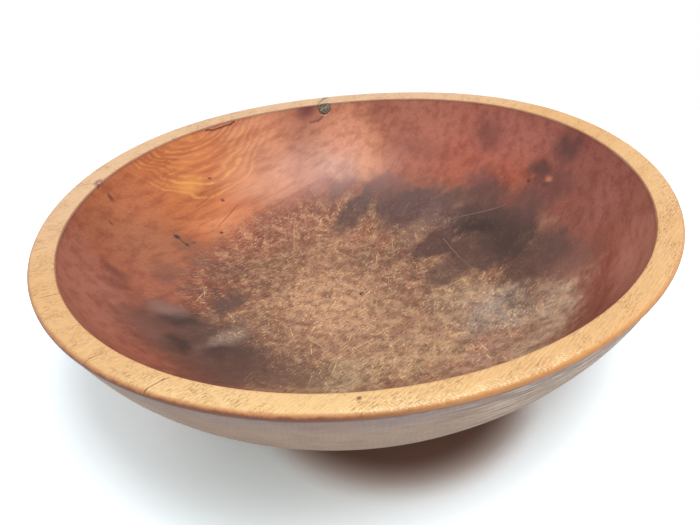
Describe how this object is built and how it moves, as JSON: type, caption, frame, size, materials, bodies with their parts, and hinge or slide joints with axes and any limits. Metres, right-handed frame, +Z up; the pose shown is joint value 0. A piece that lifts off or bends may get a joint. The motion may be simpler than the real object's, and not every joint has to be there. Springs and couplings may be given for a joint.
{
  "type": "dough bowl",
  "caption": "Wide shallow turned wooden dough bowl with a rim that slopes a little inwards, a rolled lip, a round wall and a small flat foot.",
  "frame": {"origin": "middle of the flat foot, on the surface that the bowl stands on", "axes": "+X along the grain and the longer diameter, +Y across the grain, +Z up out of the mouth"},
  "size_m": [0.398, 0.382, 0.106],
  "materials": {
    "bowl_wood": "hardwood, oiled and worn to a red-brown satin inside, ochre on the rim, dry grey-brown outside",
    "knot_wood": "dark dead branch wood with a bark ring, rough"
  },
  "bodies": {
    "root": {"bowl": "bowl_wood", "rim_knot": "knot_wood", "pin_knot": "knot_wood"}
  },
  "joints": []
}
